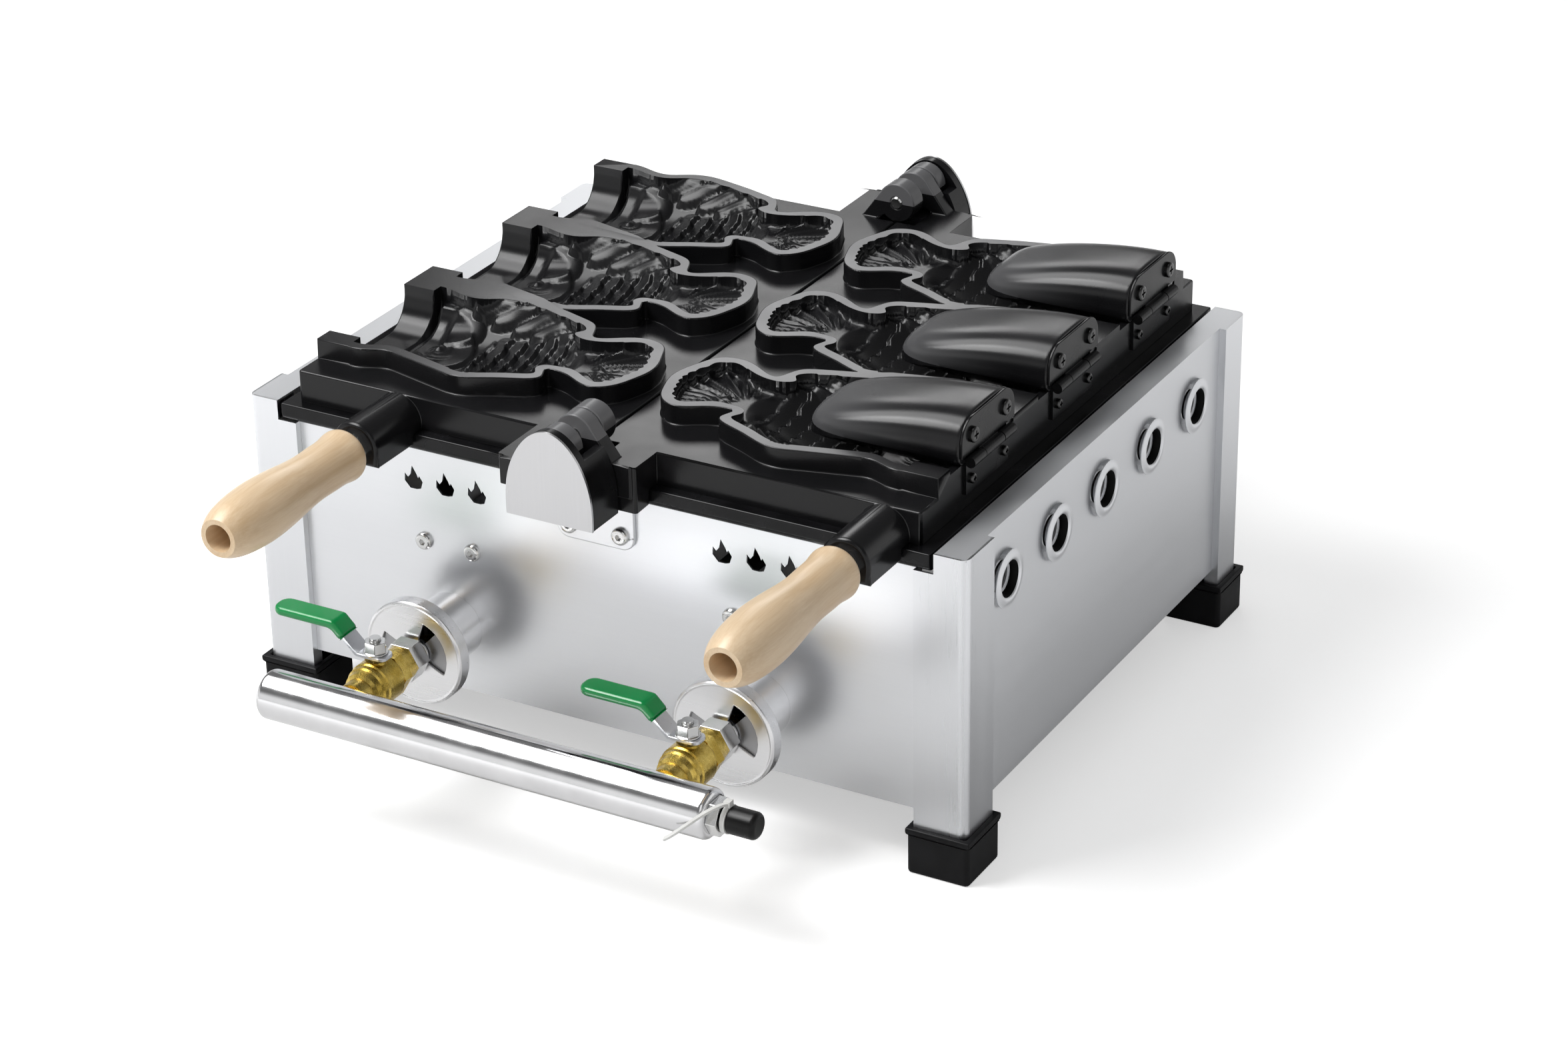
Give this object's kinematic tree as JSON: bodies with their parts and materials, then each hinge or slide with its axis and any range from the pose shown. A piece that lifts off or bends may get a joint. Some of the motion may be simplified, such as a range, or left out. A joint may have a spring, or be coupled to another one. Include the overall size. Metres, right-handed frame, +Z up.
{
  "type": "taiyaki maker",
  "caption": "Countertop gas taiyaki maker: hinged non-stick castings with fish cavities, swinging cores, wooden handles and a steel stand with burners.",
  "frame": {"origin": "centre of the bounding box on the table plane, under the hinge line", "axes": "+X to the right half, +Y to the back, away from the handles and gas train, +Z up"},
  "size_m": [0.4744, 0.5814, 0.2547],
  "materials": {
    "stainless": "brushed stainless sheet",
    "shield_steel": "dull, heat-tinted sheet",
    "foot_rubber": "satin black",
    "black_frame": "satin black coating",
    "burner_iron": "rough cast",
    "bracket_steel": "plain sheet",
    "chromed": "polished",
    "grey_plate": "dull grey",
    "brass": "satin, machined",
    "nut_steel": "zinc plated",
    "lever_steel": "plated strip",
    "green_grip": "dipped, glossy",
    "manifold_steel": "semi-matt grey coating",
    "black_rubber": "matt",
    "barb_black": "black oxide",
    "tie_white": "natural nylon",
    "screw_steel": "plated",
    "leaf_steel": "satin",
    "nonstick": "non-stick coating, satin",
    "handle_wood": "turned, lacquered"
  },
  "bodies": {
    "body": {"front_posts": "stainless", "rear_posts": "stainless", "front_panel": "stainless", "rear_panel": "stainless", "side_panel_left": "stainless", "side_panel_right": "stainless", "foot_caps": "foot_rubber", "base_frame": "black_frame", "heat_shields": "shield_steel", "burner_left": "burner_iron", "burner_right": "burner_iron", "burner_brackets": "bracket_steel", "burner_bells": "chromed", "shutter_plates": "grey_plate", "gas_spuds": "brass", "valve_nuts": "nut_steel", "valve_body_left": "brass", "valve_body_right": "brass", "manifold": "manifold_steel", "inlet_fitting": "nut_steel", "inlet_barb": "barb_black", "panel_screws": "screw_steel", "bracket_screws": "screw_steel", "hinge_brackets": "stainless", "hinge_block_front": "black_frame", "hinge_block_rear": "black_frame", "hinge_cover_front": "stainless", "hinge_cover_rear": "stainless", "hinge_pins": "screw_steel"},
    "left_half": {"left_casting": "nonstick", "left_handle": "handle_wood", "left_handle_stud": "nut_steel"},
    "right_half": {"right_casting": "nonstick", "right_handle": "handle_wood", "right_handle_stud": "nut_steel", "core_lower_leaves": "leaf_steel", "core_hinge_pins": "screw_steel", "leaf_screws": "screw_steel"},
    "core_1_swing": {"core_1": "nonstick", "core_leaf_1": "leaf_steel", "core_screws_1": "screw_steel"},
    "core_2_swing": {"core_2": "nonstick", "core_leaf_2": "leaf_steel", "core_screws_2": "screw_steel"},
    "core_3_swing": {"core_3": "nonstick", "core_leaf_3": "leaf_steel", "core_screws_3": "screw_steel"},
    "shutter_left": {"shutter_disc_left": "chromed"},
    "valve_left": {"valve_ball_left": "nut_steel", "valve_lever_left": "lever_steel", "lever_grip_left": "green_grip", "lever_nut_left": "nut_steel"},
    "shutter_right": {"shutter_disc_right": "chromed"},
    "valve_right": {"valve_ball_right": "nut_steel", "valve_lever_right": "lever_steel", "lever_grip_right": "green_grip", "lever_nut_right": "nut_steel"},
    "cap": {"inlet_cap": "black_rubber", "cap_tie": "tie_white"}
  },
  "joints": [
    {"name": "left_flip", "type": "hinge", "parent": "body", "child": "left_half", "pos_m": [0, 0.06075, 0.2305], "axis": [0, 1, 0], "range_deg": [0, 180]},
    {"name": "right_flip", "type": "hinge", "parent": "body", "child": "right_half", "pos_m": [0, 0.06075, 0.2305], "axis": [0, -1, 0], "range_deg": [0, 180]},
    {"name": "core_1_flip", "type": "hinge", "parent": "right_half", "child": "core_1_swing", "pos_m": [0.2064, -0.0421, 0.228], "axis": [0, -1, 0], "range_deg": [-110, 0]},
    {"name": "core_2_flip", "type": "hinge", "parent": "right_half", "child": "core_2_swing", "pos_m": [0.2064, 0.0659, 0.228], "axis": [0, -1, 0], "range_deg": [-110, 0]},
    {"name": "core_3_flip", "type": "hinge", "parent": "right_half", "child": "core_3_swing", "pos_m": [0.2064, 0.1739, 0.228], "axis": [0, -1, 0], "range_deg": [-110, 0]},
    {"name": "valve_left_turn", "type": "hinge", "parent": "body", "child": "valve_left", "pos_m": [-0.102, -0.19775, 0.079], "axis": [0, 0, 1], "range_deg": [0, 90]},
    {"name": "valve_right_turn", "type": "hinge", "parent": "body", "child": "valve_right", "pos_m": [0.102, -0.19775, 0.079], "axis": [0, 0, 1], "range_deg": [0, 90]},
    {"name": "shutter_left_turn", "type": "hinge", "parent": "body", "child": "shutter_left", "pos_m": [-0.102, -0.16125, 0.079], "axis": [0, 1, 0], "range_deg": [-35, 35]},
    {"name": "shutter_right_turn", "type": "hinge", "parent": "body", "child": "shutter_right", "pos_m": [0.102, -0.16125, 0.079], "axis": [0, 1, 0], "range_deg": [-35, 35]},
    {"name": "cap_pull", "type": "slide", "parent": "body", "child": "cap", "axis": [1, 0, 0], "range_m": [0, 0.03]}
  ]
}
